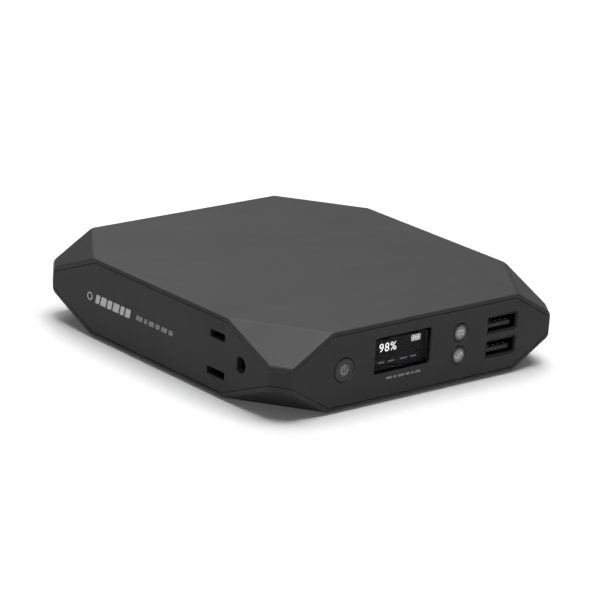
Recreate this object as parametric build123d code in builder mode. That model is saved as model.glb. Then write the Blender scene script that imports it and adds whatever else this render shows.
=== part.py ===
from build123d import *
from itertools import product
import os

# A pocket power bank with a mains outlet, built up as it comes apart on a bench.
# Units are millimetres. X runs along the control face, Y from the control face to the rear,
# and Z up from the surface that the case lies on. The control face looks along -Y, the mains
# outlet is in the -X side, the dock contacts are in the +X side and the charging ports are at the rear.

# Case
width = 122.0
depth = 127.0
body_height = 27.0
foot_proud = 0.8
z_mid = foot_proud + body_height / 2
facet_leg_x = 20.5  # how far a corner facet cuts into a flat, along each side
facet_leg_y = 28.5
band_leg_x = 4.6  # the upright band left at each corner between its two facets
band_leg_y = band_leg_x * facet_leg_y / facet_leg_x
band_half_height = 4.2
frame_wall = 2.2
cover_skin = 1.2  # the cover's edge that shows round the sides
cover_wall = 2.0
seam_gap = 0.2
fit_gap = 0.15
part_gap = 0.1  # between pieces that are screwed or clipped up to each other
facet_radius = 2.5  # where a facet turns into the flat and into its band
edge_radius = 0.7
seam_radius = 0.25

# Control face: places are (X, height above mid height)
power_place = (-34.6, 0.0)
usb_key_place = (15.5, 4.1)
output_key_place = (15.5, -3.8)
power_radius = 4.0
key_radius = 3.1
key_travel = 0.5
display_place = (-9.7, 2.1)
window_width = 24.0
window_height = 12.0
usb_a_place = (34.3, 0.1)
usb_a_pitch = 8.4

# Mains outlet: three-pin spacing as the plug standard has it
outlet_y = -31.0
blade_spacing = 12.7
ground_offset = 11.9
ground_radius = 2.7

# Rear and dock side
usb_c_x = -22.0
dc_jack_x = -40.0
dock_y = -36.0
dock_pitch = 3.8
dock_count = 5

# Inside
board_top = z_mid - 7.7
board_thickness = 1.6
cell_radius = 9.2
cell_length = 65.0
cell_pitch = 18.8
cell_count = 6
cell_front_y = -15.0
post_radius = 3.1
post_places = [(-45, -51), (45, -51), (-55.5, -20.5), (55.5, -20.5), (0, 55.8)]
post_meeting_z = z_mid - 3.0
board_screw_places = [(-31, -22), (49, -23), (-31, -53), (22, -53)]
foot_places = {
    "foot_front_left": (-40, -41),
    "foot_front_right": (40, -41),
    "foot_rear_left": (-40, 41),
    "foot_rear_right": (40, 41),
}
foot_radius = 5.0

inner_low = foot_proud + cover_wall
front_y = -depth / 2
rear_y = depth / 2

# Each side's plane looks outwards, with its own y up and its origin at mid height.
front_face = Plane(origin=(0, front_y, z_mid), x_dir=(1, 0, 0), z_dir=(0, -1, 0))
left_face = Plane(origin=(-width / 2, 0, z_mid), x_dir=(0, -1, 0), z_dir=(-1, 0, 0))
rear_face = Plane(origin=(0, rear_y, z_mid), x_dir=(-1, 0, 0), z_dir=(0, 1, 0))
right_face = Plane(origin=(width / 2, 0, z_mid), x_dir=(0, 1, 0), z_dir=(1, 0, 0))

# A solid stands upwards from its place, or hangs downwards from it.
upwards = (Align.CENTER, Align.CENTER, Align.MIN)
downwards = (Align.CENTER, Align.CENTER, Align.MAX)

os.makedirs("parts", exist_ok=True)


def save(part, label):
    """Label a finished piece and write it as its own STEP file."""
    part.label = label
    export_step(part, f"parts/{label}.step")


def slab(x, y, z, mode=Mode.ADD):
    """A box between two limits on each axis."""
    with Locations((sum(x) / 2, sum(y) / 2, sum(z) / 2)):
        Box(x[1] - x[0], y[1] - y[0], z[1] - z[0], mode=mode)


# ---------------------------------------------------------------- case form


def facet_plane(side_x, side_y, side_z, inset):
    """One sloped corner facet's plane, looking outwards, moved in by inset."""
    flat_z = z_mid + side_z * body_height / 2
    band_z = z_mid + side_z * band_half_height
    on_long_side = Vector(side_x * (width / 2 - facet_leg_x), side_y * depth / 2, flat_z)
    on_short_side = Vector(side_x * width / 2, side_y * (depth / 2 - facet_leg_y), flat_z)
    on_band = Vector(side_x * (width / 2 - band_leg_x), side_y * depth / 2, band_z)
    outwards = (on_short_side - on_long_side).cross(on_band - on_long_side).normalized()
    if outwards.X * side_x < 0:
        outwards = -outwards
    return Plane(origin=on_long_side - outwards * inset, z_dir=outwards)


def plan_outline(side_inset):
    """The case's plan as a sketch: a rectangle whose corners are cut by the bands."""
    x, y = width / 2, depth / 2
    corner = [(x, y - band_leg_y), (x - band_leg_x, y)]
    half = corner + [(-px, py) for px, py in reversed(corner)]
    with BuildSketch() as outline:
        Polygon(*half, *[(-px, -py) for px, py in half], align=None)
        if side_inset:
            offset(amount=-side_inset, kind=Kind.INTERSECTION)
    return outline.sketch


def faceted_block(side_inset, skin_inset):
    """The case's form, with its sides and then its flats and facets moved in."""
    outline = plan_outline(side_inset)
    with BuildPart() as block:
        with BuildSketch(Plane.XY.offset(foot_proud + skin_inset)):
            add(outline)
        extrude(amount=body_height - 2 * skin_inset)
        for side_x, side_y, side_z in product((-1, 1), repeat=3):
            split(bisect_by=facet_plane(side_x, side_y, side_z, skin_inset), keep=Keep.BOTTOM)
    return block.part


def is_level_diagonal(edge):
    """True on the level edges that run across a corner, above and below each facet."""
    along = edge.tangent_at(0)
    return abs(along.Z) < 0.01 and abs(along.X * along.Y) > 0.1


def outer_form():
    """The whole case's outside: soft turns into the facets, and tight ones round the sides."""
    block = faceted_block(0, 0)
    with BuildPart() as form:
        add(block)
        fillet(form.edges().filter_by(is_level_diagonal), facet_radius)
        sides = form.faces().filter_by(Axis.X) + form.faces().filter_by(Axis.Y)
        fillet(sides.edges(), edge_radius)
    return form.part


def posts(low, high):
    """The screw posts between two heights, kept inside the case's skin."""
    inside = faceted_block(frame_wall, cover_skin / 2)
    with BuildPart() as made:
        with BuildSketch(Plane.XY.offset(low)):
            with Locations(*post_places):
                Circle(post_radius)
        extrude(amount=high - low)
        add(inside, mode=Mode.INTERSECT)
    return made.part


def cover_shell(keep):
    """One cover: the skin that shows, and a thicker layer that drops inside the frame."""
    liner_outside = faceted_block(frame_wall + fit_gap, cover_skin)
    liner_inside = faceted_block(0, cover_wall)
    skin_outside = outer_form()
    skin_inside = faceted_block(-frame_wall, cover_skin)
    with BuildPart() as liner:
        add(liner_outside)
        add(liner_inside, mode=Mode.SUBTRACT)
        split(bisect_by=Plane.XY.offset(z_mid), keep=keep)
    with BuildPart() as shell:
        add(skin_outside)
        add(skin_inside, mode=Mode.SUBTRACT)
        split(bisect_by=Plane.XY.offset(z_mid), keep=keep)
        add(liner.part)
    return shell.part


# ---------------------------------------------------------------- covers, feet and case screws

screw_hole_radius = 1.45
screw_core_radius = 1.05  # the thread is drawn as its core
screw_length = 14.0
screw_head_radius = 2.3
screw_head_height = 1.5
screw_cross = (2.4, 0.5)
screw_cross_depth = 0.8
pilot_radius = 1.1
pilot_depth = 10.0
head_pocket_radius = 2.5
head_pocket_depth = 2.2
foot_pocket_depth = 0.8
foot_edge_radius = 0.4
standoff_radius = 2.2
standoff_top = board_top - board_thickness
board_pilot_radius = 0.8
board_pilot_depth = 3.2

top_shell = cover_shell(Keep.TOP)
top_posts = posts(post_meeting_z, foot_proud + body_height - cover_skin)
with BuildPart() as top_cover:
    add(top_shell)
    add(top_posts)
    with Locations(*[(x, y, post_meeting_z) for x, y in post_places]):
        Cylinder(pilot_radius, pilot_depth, align=upwards, mode=Mode.SUBTRACT)
save(top_cover.part, "top_cover")

bottom_shell = cover_shell(Keep.BOTTOM)
bottom_posts = posts(foot_proud + cover_skin, post_meeting_z - part_gap)
with BuildPart() as bottom_cover:
    add(bottom_shell)
    add(bottom_posts)
    with Locations(*[(x, y, inner_low) for x, y in board_screw_places]):
        Cylinder(standoff_radius, standoff_top - inner_low, align=upwards)
    with Locations(*[(x, y, standoff_top) for x, y in board_screw_places]):
        Cylinder(board_pilot_radius, board_pilot_depth, align=downwards, mode=Mode.SUBTRACT)
    with Locations(*[(x, y, foot_proud) for x, y in post_places]):
        Cylinder(screw_hole_radius, body_height / 2, align=upwards, mode=Mode.SUBTRACT)
        Cylinder(head_pocket_radius, head_pocket_depth, align=upwards, mode=Mode.SUBTRACT)
    with Locations(*[(x, y, foot_proud) for x, y in foot_places.values()]):
        Cylinder(foot_radius + fit_gap, foot_pocket_depth, align=upwards, mode=Mode.SUBTRACT)
save(bottom_cover.part, "bottom_cover")

for foot_name, foot_place in foot_places.items():
    with BuildPart() as foot:
        with Locations(foot_place):
            Cylinder(foot_radius, foot_proud + foot_pocket_depth, align=upwards)
        fillet(foot.edges().group_by(Axis.Z)[0], foot_edge_radius)
    save(foot.part, foot_name)

# The case screws go up through the bottom cover's posts.
screw_seat = foot_proud + head_pocket_depth
with BuildPart() as case_screws:
    with Locations(*[(x, y, screw_seat) for x, y in post_places]):
        Cylinder(screw_head_radius, screw_head_height, align=downwards)
        Cylinder(screw_core_radius, screw_length, align=upwards)
    with Locations(*[(x, y, screw_seat - screw_head_height) for x, y in post_places]):
        for length, breadth in (screw_cross, reversed(screw_cross)):
            Box(length, breadth, 2 * screw_cross_depth, mode=Mode.SUBTRACT)
save(case_screws.part, "case_screws")

# ---------------------------------------------------------------- side frame

# The frame is one moulding: four side faces joined by the corner bands.
key_gap = 0.15
window_gap = 0.1
window_ledge = 0.9  # the rim inside the window's rebate
rebate_depth = 1.25
port_gap = 0.25
opening_bevel = 0.3
outlet_bevel = 0.25
usb_mouth = (13.1, 5.7)
usb_a_heights = [usb_a_place[1] + side * usb_a_pitch / 2 for side in (1, -1)]
usb_a_mouths = [(usb_a_place[0], height) for height in usb_a_heights]
line_slot = (7.4, 2.5)
neutral_slot = (8.8, 2.5)
line_place = (-outlet_y, blade_spacing / 2)
neutral_place = (-outlet_y, -blade_spacing / 2)
ground_place = (-outlet_y + ground_offset, 0)
ground_flat = 0.6 * ground_radius  # from the ground hole's middle to its flat
usb_c_mouth = (8.94, 3.26)
usb_c_place = (-usb_c_x, 0)
jack_place = (-dc_jack_x, 0)
jack_nose_radius = 3.4
dock_window = (dock_pitch * dock_count + 1.6, 5.0)

frame_block = faceted_block(0, cover_skin + seam_gap)
frame_inside = plan_outline(frame_wall)
with BuildPart() as side_frame:
    add(frame_block)
    fillet(side_frame.edges().filter_by(Axis.Z), edge_radius)
    uprights = side_frame.edges().filter_by(Axis.Z)
    fillet([edge for edge in side_frame.edges() if edge not in uprights], seam_radius)
    with BuildSketch(Plane.XY):
        add(frame_inside)
    extrude(amount=2 * body_height, mode=Mode.SUBTRACT)
    with BuildSketch(front_face):
        with Locations(power_place):
            Circle(power_radius + key_gap)
        with Locations(usb_key_place, output_key_place):
            Circle(key_radius + key_gap)
        with Locations(display_place):
            RectangleRounded(window_width - 2 * window_ledge, window_height - 2 * window_ledge, 0.5)
        with Locations(*usb_a_mouths):
            RectangleRounded(usb_mouth[0] + 2 * port_gap, usb_mouth[1] + 2 * port_gap, 0.6)
    extrude(amount=-frame_wall, mode=Mode.SUBTRACT)
    with BuildSketch(front_face):
        with Locations(display_place):
            RectangleRounded(window_width + 2 * window_gap, window_height + 2 * window_gap, 0.9)
    extrude(amount=-rebate_depth, mode=Mode.SUBTRACT)
    with BuildSketch(left_face):
        with Locations(line_place):
            RectangleRounded(*line_slot, 0.3)
        with Locations(neutral_place):
            RectangleRounded(*neutral_slot, 0.3)
        with Locations(ground_place):
            Circle(ground_radius)
            with Locations((-ground_flat - ground_radius, 0)):
                Rectangle(2 * ground_radius, 2 * ground_radius, mode=Mode.SUBTRACT)
    extrude(amount=-frame_wall, mode=Mode.SUBTRACT)
    with BuildSketch(rear_face):
        with Locations(usb_c_place):
            SlotOverall(usb_c_mouth[0] + 2 * port_gap, usb_c_mouth[1] + 2 * port_gap)
        with Locations(jack_place):
            Circle(jack_nose_radius + fit_gap)
    extrude(amount=-frame_wall, mode=Mode.SUBTRACT)
    with BuildSketch(right_face):
        with Locations((dock_y, 0)):
            RectangleRounded(*dock_window, 1.0)
    extrude(amount=-frame_wall, mode=Mode.SUBTRACT)
    # A small bevel round every opening in the control face and the outlet.
    front_rims = side_frame.faces().sort_by(Axis.Y)[0].inner_wires()
    chamfer([edge for wire in front_rims for edge in wire.edges()], opening_bevel)
    left_rims = side_frame.faces().sort_by(Axis.X)[0].inner_wires()
    chamfer([edge for wire in left_rims for edge in wire.edges()], outlet_bevel)
save(side_frame.part, "side_frame")

# ---------------------------------------------------------------- buttons and switches

# Depths behind the control face
face_recess = 0.1
flange_front = frame_wall + 0.15
flange_back = flange_front + 0.8
plunger_tip = flange_back + 0.45
switch_front = plunger_tip + 0.7
plunger_end = switch_front + 1.0
switch_back = switch_front + 1.9

flange_lip = 0.65  # how far the holding flange stands out round the cap
cap_edge_radius = 0.35
plunger_radius = 1.0
plunger_gap = 0.1
lens_depth = 0.7
lens_gap = 0.05
lens_recess = 0.02
lens_edge_radius = 0.15
switch_width = 5.2
switch_corner = 0.4
power_lens_radius = 2.4
key_lens_radius = 2.3


def key_cap(place, radius, lens_radius):
    """A round cap with a holding flange behind the wall, and its icon lens let in flush."""
    with BuildPart() as cap:
        with BuildSketch(front_face.offset(-face_recess)):
            with Locations(place):
                Circle(radius)
        extrude(amount=-(flange_back - face_recess))
        fillet(cap.edges().group_by(Axis.Y)[0], cap_edge_radius)
        with BuildSketch(front_face.offset(-flange_front)):
            with Locations(place):
                Circle(radius + flange_lip)
        extrude(amount=-(flange_back - flange_front))
        with BuildSketch(front_face.offset(-flange_back)):
            with Locations(place):
                Circle(plunger_radius)
        extrude(amount=-(plunger_tip - flange_back))
        with BuildSketch(front_face):
            with Locations(place):
                Circle(lens_radius)
        extrude(amount=-(face_recess + lens_depth), mode=Mode.SUBTRACT)
    with BuildPart() as lens:
        with BuildSketch(front_face.offset(-face_recess - lens_recess)):
            with Locations(place):
                Circle(lens_radius - lens_gap)
        extrude(amount=-(lens_depth - lens_recess))
        fillet(lens.edges().group_by(Axis.Y)[0], lens_edge_radius)
    return cap.part, lens.part


def tact_switch(place):
    """A snap switch on the control board: its body, and the plunger that the cap pushes."""
    with BuildPart() as body:
        with BuildSketch(front_face.offset(-switch_front)):
            with Locations(place):
                RectangleRounded(switch_width, switch_width, switch_corner)
        extrude(amount=-(switch_back - switch_front))
        with BuildSketch(front_face.offset(-switch_front)):
            with Locations(place):
                Circle(plunger_radius + plunger_gap)
        extrude(amount=-(plunger_end + key_travel + plunger_gap - switch_front), mode=Mode.SUBTRACT)
    with BuildPart() as plunger:
        with BuildSketch(front_face.offset(-plunger_tip)):
            with Locations(place):
                Circle(plunger_radius)
        extrude(amount=-(plunger_end - plunger_tip))
    return body.part, plunger.part


for key_name, key_place, cap_radius, icon_radius in (
    ("power", power_place, power_radius, power_lens_radius),
    ("usb", usb_key_place, key_radius, key_lens_radius),
    ("output", output_key_place, key_radius, key_lens_radius),
):
    cap_part, lens_part = key_cap(key_place, cap_radius, icon_radius)
    save(cap_part, f"{key_name}_button")
    save(lens_part, f"{key_name}_button_lens")
    switch_part, plunger_part = tact_switch(key_place)
    save(switch_part, f"{key_name}_switch")
    save(plunger_part, f"{key_name}_switch_plunger")

control_board_x = (-40.5, 22.0)
control_board_z = (board_top + 0.2, z_mid + 9.4)
control_board_front = front_y + switch_back
control_board_back = control_board_front + 1.2
with BuildPart() as control_board:
    slab(control_board_x, (control_board_front, control_board_back), control_board_z)
save(control_board.part, "control_board")

# ---------------------------------------------------------------- display

window_recess = 0.15
window_corner = 0.8
window_edge_radius = 0.15
panel_front = frame_wall + part_gap
panel_back = panel_front + 1.4
panel_size = (25.0, 13.0)
bracket_rim = 2.0

with BuildPart() as display_window:
    with BuildSketch(front_face.offset(-window_recess)):
        with Locations(display_place):
            RectangleRounded(window_width, window_height, window_corner)
    extrude(amount=-(rebate_depth - window_recess))
    fillet(display_window.edges().group_by(Axis.Y)[0], window_edge_radius)
save(display_window.part, "display_window")

with BuildPart() as display_panel:
    with BuildSketch(front_face.offset(-panel_front)):
        with Locations(display_place):
            Rectangle(*panel_size)
    extrude(amount=-(panel_back - panel_front))
save(display_panel.part, "display_panel")

with BuildPart() as display_bracket:
    with BuildSketch(front_face.offset(-panel_back)):
        with Locations(display_place):
            Rectangle(*panel_size)
            Rectangle(panel_size[0] - 2 * bracket_rim, panel_size[1] - 2 * bracket_rim, mode=Mode.SUBTRACT)
    extrude(amount=-(switch_back - panel_back))
save(display_bracket.part, "display_bracket")

# The ribbon leaves the panel's lower edge and turns back to the control board.
ribbon_y = front_y + (panel_front + panel_back) / 2
ribbon_top = z_mid + display_place[1] - panel_size[1] / 2
ribbon_bottom = ribbon_top - 1.4
ribbon_bend_radius = 0.6
ribbon_thickness = 0.2
ribbon_half_width = 5.0
with BuildPart() as display_ribbon:
    with BuildSketch(Plane.YZ.offset(display_place[0])):
        with BuildLine():
            FilletPolyline(
                (ribbon_y, ribbon_top),
                (ribbon_y, ribbon_bottom),
                (control_board_front, ribbon_bottom),
                radius=ribbon_bend_radius,
            )
            offset(amount=ribbon_thickness, side=Side.LEFT)
        make_face()
    extrude(amount=ribbon_half_width, both=True)
save(display_ribbon.part, "display_ribbon")

# ---------------------------------------------------------------- twin USB-A connector

usb_lip = 0.5
usb_front = frame_wall + part_gap
usb_back = 15.4
usb_back_wall = 0.6
usb_opening = (12.5, 5.1)
leg_thickness = 0.5
leg_length = 1.6
leg_ys = (-56, -50)
tongue_front = 1.9
tongue_offset = -0.9  # the tongue lies in the lower half of each mouth
tongue_width = 11.1
tongue_thickness = 1.84
tongue_bevel = 0.3
tongue_base = (12.3, 4.9)
tongue_base_length = 2.0
usb_contact_front = 2.6
usb_contact_length = 9.0
usb_contact_size = (1.0, 0.2)
usb_contact_pitch = 2.3
usb_contact_count = 4

with BuildPart() as usb_a_shell:
    with BuildSketch(front_face.offset(-usb_front)):
        with Locations(usb_a_place):
            Rectangle(usb_mouth[0], usb_mouth[1] + usb_a_pitch)
    extrude(amount=-(usb_back - usb_front))
    with BuildSketch(front_face.offset(-usb_lip)):
        with Locations(*usb_a_mouths):
            RectangleRounded(*usb_mouth, 0.5)
    extrude(amount=-(usb_front - usb_lip))
    with BuildSketch(front_face):
        with Locations(*usb_a_mouths):
            RectangleRounded(*usb_opening, 0.3)
    extrude(amount=-(usb_back - usb_back_wall), mode=Mode.SUBTRACT)
    shell_bottom = z_mid + usb_a_place[1] - (usb_mouth[1] + usb_a_pitch) / 2
    for side, leg_y in product((-1, 1), leg_ys):
        leg_outer_x = usb_a_place[0] + side * usb_mouth[0] / 2
        leg_x = sorted((leg_outer_x, leg_outer_x - side * leg_thickness))
        slab(leg_x, (leg_y, leg_y + leg_length), (board_top, shell_bottom + 0.2))
save(usb_a_shell.part, "usb_a_shell")

with BuildPart() as usb_a_insulator:
    with BuildSketch(front_face.offset(-tongue_front)):
        with Locations(*[(x, height + tongue_offset) for x, height in usb_a_mouths]):
            Rectangle(tongue_width, tongue_thickness)
    extrude(amount=-(usb_back - usb_back_wall - tongue_front))
    chamfer(usb_a_insulator.edges().group_by(Axis.Y)[0], tongue_bevel)
    with BuildSketch(front_face.offset(-(usb_back - usb_back_wall - tongue_base_length))):
        with Locations(*usb_a_mouths):
            Rectangle(*tongue_base)
    extrude(amount=-tongue_base_length)
save(usb_a_insulator.part, "usb_a_insulator")

usb_contact_offset = tongue_offset + (tongue_thickness + usb_contact_size[1]) / 2
with BuildPart() as usb_a_contacts:
    for mouth_x, mouth_height in usb_a_mouths:
        with BuildSketch(front_face.offset(-usb_contact_front)):
            with Locations((mouth_x, mouth_height + usb_contact_offset)):
                with GridLocations(usb_contact_pitch, 1, usb_contact_count, 1):
                    Rectangle(*usb_contact_size)
        extrude(amount=-usb_contact_length)
save(usb_a_contacts.part, "usb_a_contacts")

# ---------------------------------------------------------------- mains outlet

# Depths behind the left side
housing_front = frame_wall + part_gap
chamber_front = 5.0
contact_front = chamber_front + 0.2
chamber_back = 19.5
housing_back = 21.0
tail_end = 23.0

housing_size = (23.4, 19.2)
housing_shift = 4.9  # from the blades' line towards the ground pin
housing_corner = 1.5
blade_chamber = (7.8, 5.0)
ground_chamber_radius = 3.9
tail_hole = (2.6, 1.4)
tail_size = (2.0, 0.8)
contact_web = 0.8  # the closed end that joins a contact's leaves
blade_contact_size = (6.6, 3.4)
blade_contact_slit = 2.2
ground_contact_radii = (2.8, 3.5)
ground_contact_slit = 0.8
contact_places = {"line": line_place, "neutral": neutral_place, "ground": ground_place}

housing_limit = faceted_block(frame_wall, cover_wall + fit_gap)
with BuildPart() as outlet_housing:
    with BuildSketch(left_face.offset(-housing_front)):
        with Locations((-outlet_y + housing_shift, 0)):
            RectangleRounded(*housing_size, housing_corner)
    extrude(amount=-(housing_back - housing_front))
    add(housing_limit, mode=Mode.INTERSECT)
    with BuildSketch(left_face.offset(-housing_front)):
        with Locations(line_place):
            Rectangle(*line_slot)
        with Locations(neutral_place):
            Rectangle(blade_chamber[0], neutral_slot[1])
        with Locations(ground_place):
            Circle(ground_radius)
    extrude(amount=-(chamber_front - housing_front), mode=Mode.SUBTRACT)
    with BuildSketch(left_face.offset(-chamber_front)):
        with Locations(line_place, neutral_place):
            Rectangle(*blade_chamber)
        with Locations(ground_place):
            Circle(ground_chamber_radius)
    extrude(amount=-(chamber_back - chamber_front), mode=Mode.SUBTRACT)
    with BuildSketch(left_face.offset(-chamber_back)):
        with Locations(*contact_places.values()):
            Rectangle(*tail_hole)
    extrude(amount=-(housing_back - chamber_back), mode=Mode.SUBTRACT)
save(outlet_housing.part, "outlet_housing")

# Each contact is a pair of leaves on a closed end, with a tail through the housing's back.
web_front = chamber_back - 1.0
tail_front = web_front + 0.7
for contact_name, contact_place in contact_places.items():
    with BuildPart() as outlet_contact:
        with BuildSketch(left_face.offset(-contact_front)):
            with Locations(contact_place):
                if contact_name == "ground":
                    Circle(ground_contact_radii[1])
                    Circle(ground_contact_radii[0], mode=Mode.SUBTRACT)
                    Rectangle(3 * ground_contact_radii[0], ground_contact_slit, mode=Mode.SUBTRACT)
                else:
                    Rectangle(*blade_contact_size)
                    Rectangle(blade_contact_size[0], blade_contact_slit, mode=Mode.SUBTRACT)
        extrude(amount=-(web_front - contact_front))
        with BuildSketch(left_face.offset(-web_front)):
            with Locations(contact_place):
                if contact_name == "ground":
                    Circle(ground_contact_radii[1])
                else:
                    Rectangle(*blade_contact_size)
        extrude(amount=-contact_web)
        with BuildSketch(left_face.offset(-tail_front)):
            with Locations(contact_place):
                Rectangle(*tail_size)
        extrude(amount=-(tail_end - tail_front))
    save(outlet_contact.part, f"outlet_{contact_name}_contact")

terminal_x = (-33.5, -26.5)
terminal_y = (-46.0, -27.0)
terminal_top = z_mid - 4.0
terminal_bevel = 0.4
with BuildPart() as terminal_block:
    slab(terminal_x, terminal_y, (board_top, terminal_top))
    chamfer(terminal_block.edges().group_by(Axis.Z)[-1], terminal_bevel)
save(terminal_block.part, "outlet_terminal_block")

lead_radius = 0.8


def lead(points, start_direction):
    """A short insulated lead along straight runs joined by tangent arcs."""
    runs = [(Vector(b) - Vector(a)).length for a, b in zip(points, points[1:])]
    with BuildPart() as made:
        with BuildLine() as route:
            if len(points) > 2:
                bend_radius = 0.45 * min(runs)
                print("lead bend radius", round(bend_radius, 2))
                FilletPolyline(*points, radius=bend_radius)
            else:
                Polyline(*points)
        with BuildSketch(Plane(origin=points[0], z_dir=start_direction)):
            Circle(lead_radius)
        sweep(path=route.line)
    return made.part


tail_x = -width / 2 + tail_end
terminal_mid_x = sum(terminal_x) / 2
line_z = z_mid + blade_spacing / 2
neutral_z = z_mid - blade_spacing / 2
ground_y = outlet_y - ground_offset
line_route = [
    (tail_x, outlet_y, line_z),
    (terminal_mid_x, outlet_y, line_z),
    (terminal_mid_x, outlet_y, terminal_top),
]
neutral_route = [
    (tail_x, outlet_y, neutral_z),
    (terminal_x[0], outlet_y, neutral_z),
]
ground_route = [
    (tail_x, ground_y, z_mid),
    (terminal_mid_x, ground_y, z_mid),
    (terminal_mid_x, ground_y, terminal_top),
]
outlet_lead_parts = [lead(route, (1, 0, 0)) for route in (line_route, neutral_route, ground_route)]
with BuildPart() as outlet_leads:
    for lead_part in outlet_lead_parts:
        add(lead_part)
save(outlet_leads.part, "outlet_leads")

# ---------------------------------------------------------------- rear ports

usb_c_recess = 0.4
usb_c_length = 7.6
usb_c_wall = 0.28
usb_c_back_wall = 0.4
usb_c_tongue_front = 1.2
usb_c_tongue_size = (6.7, 0.7)
usb_c_base_front = 5.6
usb_c_base = (8.2, 2.5)

with BuildPart() as usb_c_shell:
    with BuildSketch(rear_face.offset(-usb_c_recess)):
        with Locations(usb_c_place):
            SlotOverall(*usb_c_mouth)
    extrude(amount=-usb_c_length)
    with BuildSketch(rear_face.offset(-usb_c_recess)):
        with Locations(usb_c_place):
            SlotOverall(usb_c_mouth[0] - 2 * usb_c_wall, usb_c_mouth[1] - 2 * usb_c_wall)
    extrude(amount=-(usb_c_length - usb_c_back_wall), mode=Mode.SUBTRACT)
save(usb_c_shell.part, "usb_c_shell")

with BuildPart() as usb_c_tongue:
    with BuildSketch(rear_face.offset(-usb_c_tongue_front)):
        with Locations(usb_c_place):
            RectangleRounded(*usb_c_tongue_size, 0.3)
    extrude(amount=-(usb_c_length - usb_c_tongue_front))
    with BuildSketch(rear_face.offset(-usb_c_base_front)):
        with Locations(usb_c_place):
            SlotOverall(*usb_c_base)
    extrude(amount=-(usb_c_length - usb_c_base_front))
save(usb_c_tongue.part, "usb_c_tongue")

port_board_half_width = 8.0
port_board_y = (52.0, rear_y - frame_wall - 0.4)
port_board_top = z_mid - usb_c_mouth[1] / 2
port_board_thickness = 1.2
with BuildPart() as port_board:
    slab(
        (usb_c_x - port_board_half_width, usb_c_x + port_board_half_width),
        port_board_y,
        (port_board_top - port_board_thickness, port_board_top),
    )
save(port_board.part, "port_board")

jack_recess = 0.3
jack_barrel_radius = 4.6
jack_barrel_front = frame_wall + part_gap
jack_bore_radius = 2.85
jack_back = 10.6
jack_back_wall = 1.2
jack_pin_radius = 1.0
jack_pin_front = 1.4
jack_pin_tip_radius = 0.5

with BuildPart() as dc_jack_body:
    with BuildSketch(rear_face.offset(-jack_recess)):
        with Locations(jack_place):
            Circle(jack_nose_radius)
    extrude(amount=-(jack_barrel_front - jack_recess))
    with BuildSketch(rear_face.offset(-jack_barrel_front)):
        with Locations(jack_place):
            Circle(jack_barrel_radius)
    extrude(amount=-(jack_back - jack_barrel_front))
    with BuildSketch(rear_face):
        with Locations(jack_place):
            Circle(jack_bore_radius)
    extrude(amount=-(jack_back - jack_back_wall), mode=Mode.SUBTRACT)
save(dc_jack_body.part, "dc_jack_body")

with BuildPart() as dc_jack_pin:
    with BuildSketch(rear_face.offset(-jack_pin_front)):
        with Locations(jack_place):
            Circle(jack_pin_radius)
    extrude(amount=-(jack_back - jack_back_wall - jack_pin_front))
    fillet(dc_jack_pin.edges().group_by(Axis.Y)[-1], jack_pin_tip_radius)
save(dc_jack_pin.part, "dc_jack_pin")

# ---------------------------------------------------------------- dock contacts

nose_depth = 0.6
block_front = frame_wall + part_gap
block_back = 4.9
block_margin = (1.4, 1.6)  # how much the block behind the wall is larger than its window
pad_radius = 1.15
pad_hole_radius = 1.2
pad_hole_depth = 3.0
pad_proud = 0.3  # above the block's nose
pad_edge_radius = 0.25

with BuildPart() as dock_contact_block:
    with BuildSketch(right_face.offset(-nose_depth)):
        with Locations((dock_y, 0)):
            RectangleRounded(dock_window[0] - 2 * fit_gap, dock_window[1] - 2 * fit_gap, 0.9)
    extrude(amount=-(block_front - nose_depth))
    with BuildSketch(right_face.offset(-block_front)):
        with Locations((dock_y, 0)):
            RectangleRounded(dock_window[0] + block_margin[0], dock_window[1] + block_margin[1], 1.0)
    extrude(amount=-(block_back - block_front))
    with BuildSketch(right_face):
        with Locations((dock_y, 0)):
            with GridLocations(dock_pitch, 1, dock_count, 1):
                Circle(pad_hole_radius)
    extrude(amount=-pad_hole_depth, mode=Mode.SUBTRACT)
save(dock_contact_block.part, "dock_contact_block")

pad_front = nose_depth - pad_proud
with BuildPart() as dock_contacts:
    with BuildSketch(right_face.offset(-pad_front)):
        with Locations((dock_y, 0)):
            with GridLocations(dock_pitch, 1, dock_count, 1):
                Circle(pad_radius)
    extrude(amount=-(pad_hole_depth - pad_front))
    fillet(dock_contacts.edges().group_by(Axis.X)[-1], pad_edge_radius)
save(dock_contacts.part, "dock_contacts")

# ---------------------------------------------------------------- main board

board_x = (-34.0, 52.0)
board_y = (-58.0, -18.5)
board_notch = (40.9, -47.2)  # the corner cut away for the screw post and the facet
board_outline = [
    (board_x[0], board_y[0]),
    (board_notch[0], board_y[0]),
    board_notch,
    (board_x[1], board_notch[1]),
    (board_x[1], board_y[1]),
    (board_x[0], board_y[1]),
]
board_hole_radius = 1.0
board_screw_head = (1.7, 1.1)  # radius and height
board_screw_core_radius = 0.75
board_screw_length = 4.4
board_screw_cross = (1.9, 0.4)
board_screw_cross_depth = 0.5

with BuildPart() as main_board:
    with BuildSketch(Plane.XY.offset(board_top - board_thickness)):
        Polygon(*board_outline, align=None)
        with Locations(*board_screw_places):
            Circle(board_hole_radius, mode=Mode.SUBTRACT)
    extrude(amount=board_thickness)
save(main_board.part, "main_board")

with BuildPart() as board_screws:
    with Locations(*[(x, y, board_top) for x, y in board_screw_places]):
        Cylinder(*board_screw_head, align=upwards)
        Cylinder(board_screw_core_radius, board_screw_length, align=downwards)
    with Locations(*[(x, y, board_top + board_screw_head[1]) for x, y in board_screw_places]):
        for length, breadth in (board_screw_cross, reversed(board_screw_cross)):
            Box(length, breadth, 2 * board_screw_cross_depth, mode=Mode.SUBTRACT)
save(board_screws.part, "board_screws")

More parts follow.
